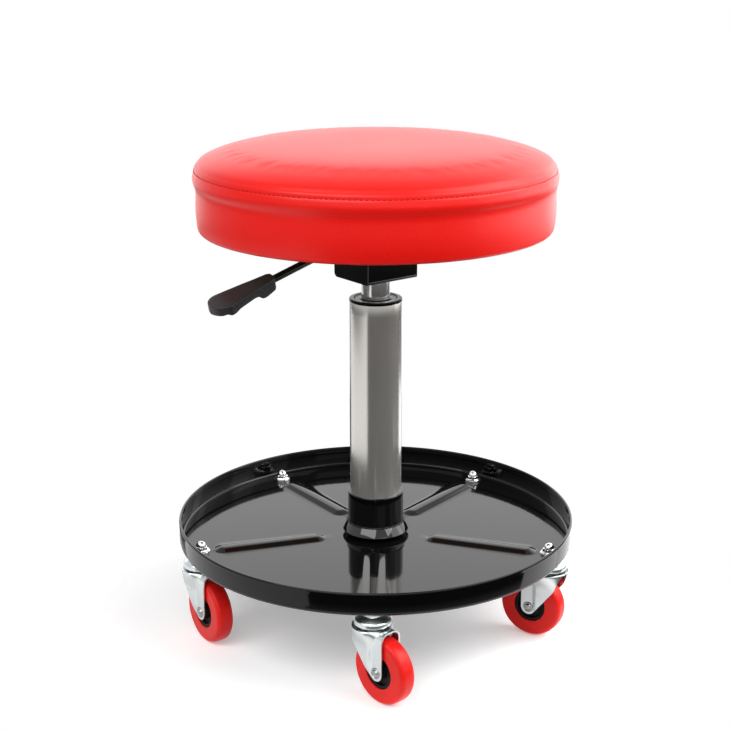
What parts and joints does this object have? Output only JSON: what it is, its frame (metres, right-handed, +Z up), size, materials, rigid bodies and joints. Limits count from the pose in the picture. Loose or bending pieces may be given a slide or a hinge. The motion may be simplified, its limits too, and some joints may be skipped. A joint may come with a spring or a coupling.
{
  "type": "rolling stool",
  "caption": "Low rolling work stool: round padded seat on a gas-lift column, lever release, round tray base on swivel casters.",
  "frame": {"origin": "on the column axis at floor level, between the five wheels", "axes": "+Z up along the column, -Y towards the viewer of the picture, the release lever points towards -X and -Y"},
  "size_m": [0.3839, 0.4036, 0.4698],
  "materials": {
    "black_enamel": "gloss",
    "satin_steel": "satin",
    "chrome": "polished",
    "zinc": "bright zinc plate",
    "bearing_steel": "ground",
    "black_plastic": "moulded",
    "hub_plastic": "moulded",
    "red_tyre": "smooth polyurethane",
    "red_vinyl": "glossy vinyl",
    "foam": "open-cell foam",
    "plywood": "raw",
    "seal_rubber": "matt",
    "aluminium": "machined"
  },
  "bodies": {
    "base": {"tray_floor": "black_enamel", "tray_rim": "black_enamel", "column_socket": "black_enamel", "outer_tube": "satin_steel", "tube_end_plate": "bearing_steel", "guide_bush": "black_plastic", "wiper_ring": "seal_rubber", "thrust_lower_race": "bearing_steel", "thrust_balls": "bearing_steel", "caster_stems": "zinc", "caster_races": "zinc", "swivel_balls": "bearing_steel", "nut_washers": "zinc", "dome_nuts": "chrome"},
    "gas_rod": {"piston_rod": "chrome", "piston": "aluminium", "piston_ring": "seal_rubber", "thrust_upper_race": "bearing_steel", "bump_stop": "seal_rubber", "rod_washer": "zinc", "rod_clip": "zinc"},
    "seat": {"pressure_tube": "chrome", "rod_guide": "aluminium", "rod_seal": "seal_rubber", "valve_body": "aluminium", "taper_socket": "black_enamel", "bracket_box": "black_enamel", "bracket_plate": "black_enamel", "lever_pivot_pin": "zinc", "seat_board": "plywood", "seat_foam": "foam", "seat_cover_top": "red_vinyl", "seat_cover_band": "red_vinyl", "cover_staples": "zinc", "tee_nuts": "zinc", "seat_screws": "zinc"},
    "release_pin": {"release_pin": "bearing_steel"},
    "lever": {"lever_rod": "black_enamel", "lever_grip": "black_plastic"},
    "caster_1": {"caster_1_fork": "zinc", "caster_1_axle": "zinc"},
    "wheel_1": {"caster_1_tyre": "red_tyre", "caster_1_hub": "hub_plastic"},
    "caster_2": {"caster_2_fork": "zinc", "caster_2_axle": "zinc"},
    "wheel_2": {"caster_2_tyre": "red_tyre", "caster_2_hub": "hub_plastic"},
    "caster_3": {"caster_3_fork": "zinc", "caster_3_axle": "zinc"},
    "wheel_3": {"caster_3_tyre": "red_tyre", "caster_3_hub": "hub_plastic"},
    "caster_4": {"caster_4_fork": "zinc", "caster_4_axle": "zinc"},
    "wheel_4": {"caster_4_tyre": "red_tyre", "caster_4_hub": "hub_plastic"},
    "caster_5": {"caster_5_fork": "zinc", "caster_5_axle": "zinc"},
    "wheel_5": {"caster_5_tyre": "red_tyre", "caster_5_hub": "hub_plastic"}
  },
  "joints": [
    {"name": "seat_swivel", "type": "hinge", "parent": "base", "child": "gas_rod", "pos_m": [0, 0, 0], "axis": [0, 0, 1], "continuous": true},
    {"name": "height_lift", "type": "slide", "parent": "gas_rod", "child": "seat", "axis": [0, 0, 1], "range_m": [0, 0.12]},
    {"name": "lever_lift", "type": "hinge", "parent": "seat", "child": "lever", "pos_m": [-0.01576, -0.01231, 0.3795], "axis": [-0.6157, 0.788, 0], "range_deg": [0, 8.5], "stiffness_Nm_per_rad": 4},
    {"name": "release_pin_press", "type": "slide", "parent": "seat", "child": "release_pin", "axis": [0, 0, -1], "range_m": [0, 0.003], "stiffness_N_per_m": 2000},
    {"name": "caster_1_swivel", "type": "hinge", "parent": "base", "child": "caster_1", "pos_m": [-0.00244, -0.17448, 0.07], "axis": [0, 0, 1], "continuous": true},
    {"name": "wheel_1_spin", "type": "hinge", "parent": "caster_1", "child": "wheel_1", "pos_m": [0.00798, -0.18527, 0.031], "axis": [0.7193, 0.6947, 0], "continuous": true},
    {"name": "caster_2_swivel", "type": "hinge", "parent": "base", "child": "caster_2", "pos_m": [0.16519, -0.05624, 0.07], "axis": [0, 0, 1], "continuous": true},
    {"name": "wheel_2_spin", "type": "hinge", "parent": "caster_2", "child": "wheel_2", "pos_m": [0.15233, -0.04851, 0.031], "axis": [-0.515, -0.8572, 0], "continuous": true},
    {"name": "caster_3_swivel", "type": "hinge", "parent": "base", "child": "caster_3", "pos_m": [0.10453, 0.13973, 0.07], "axis": [0, 0, 1], "continuous": true},
    {"name": "wheel_3_spin", "type": "hinge", "parent": "caster_3", "child": "wheel_3", "pos_m": [0.10966, 0.15382, 0.031], "axis": [-0.9397, 0.342, 0], "continuous": true},
    {"name": "caster_4_swivel", "type": "hinge", "parent": "base", "child": "caster_4", "pos_m": [-0.10059, 0.14259, 0.07], "axis": [0, 0, 1], "continuous": true},
    {"name": "wheel_4_spin", "type": "hinge", "parent": "caster_4", "child": "wheel_4", "pos_m": [-0.0861, 0.14647, 0.031], "axis": [-0.2588, 0.9659, 0], "continuous": true},
    {"name": "caster_5_swivel", "type": "hinge", "parent": "base", "child": "caster_5", "pos_m": [-0.1667, -0.0516, 0.07], "axis": [0, 0, 1], "continuous": true},
    {"name": "wheel_5_spin", "type": "hinge", "parent": "caster_5", "child": "wheel_5", "pos_m": [-0.15809, -0.06389, 0.031], "axis": [0.8192, 0.5736, 0], "continuous": true}
  ],
  "couplings": [
    {"joint": "release_pin_press", "follows": "lever_lift", "m_per_rad": 0.02}
  ]
}
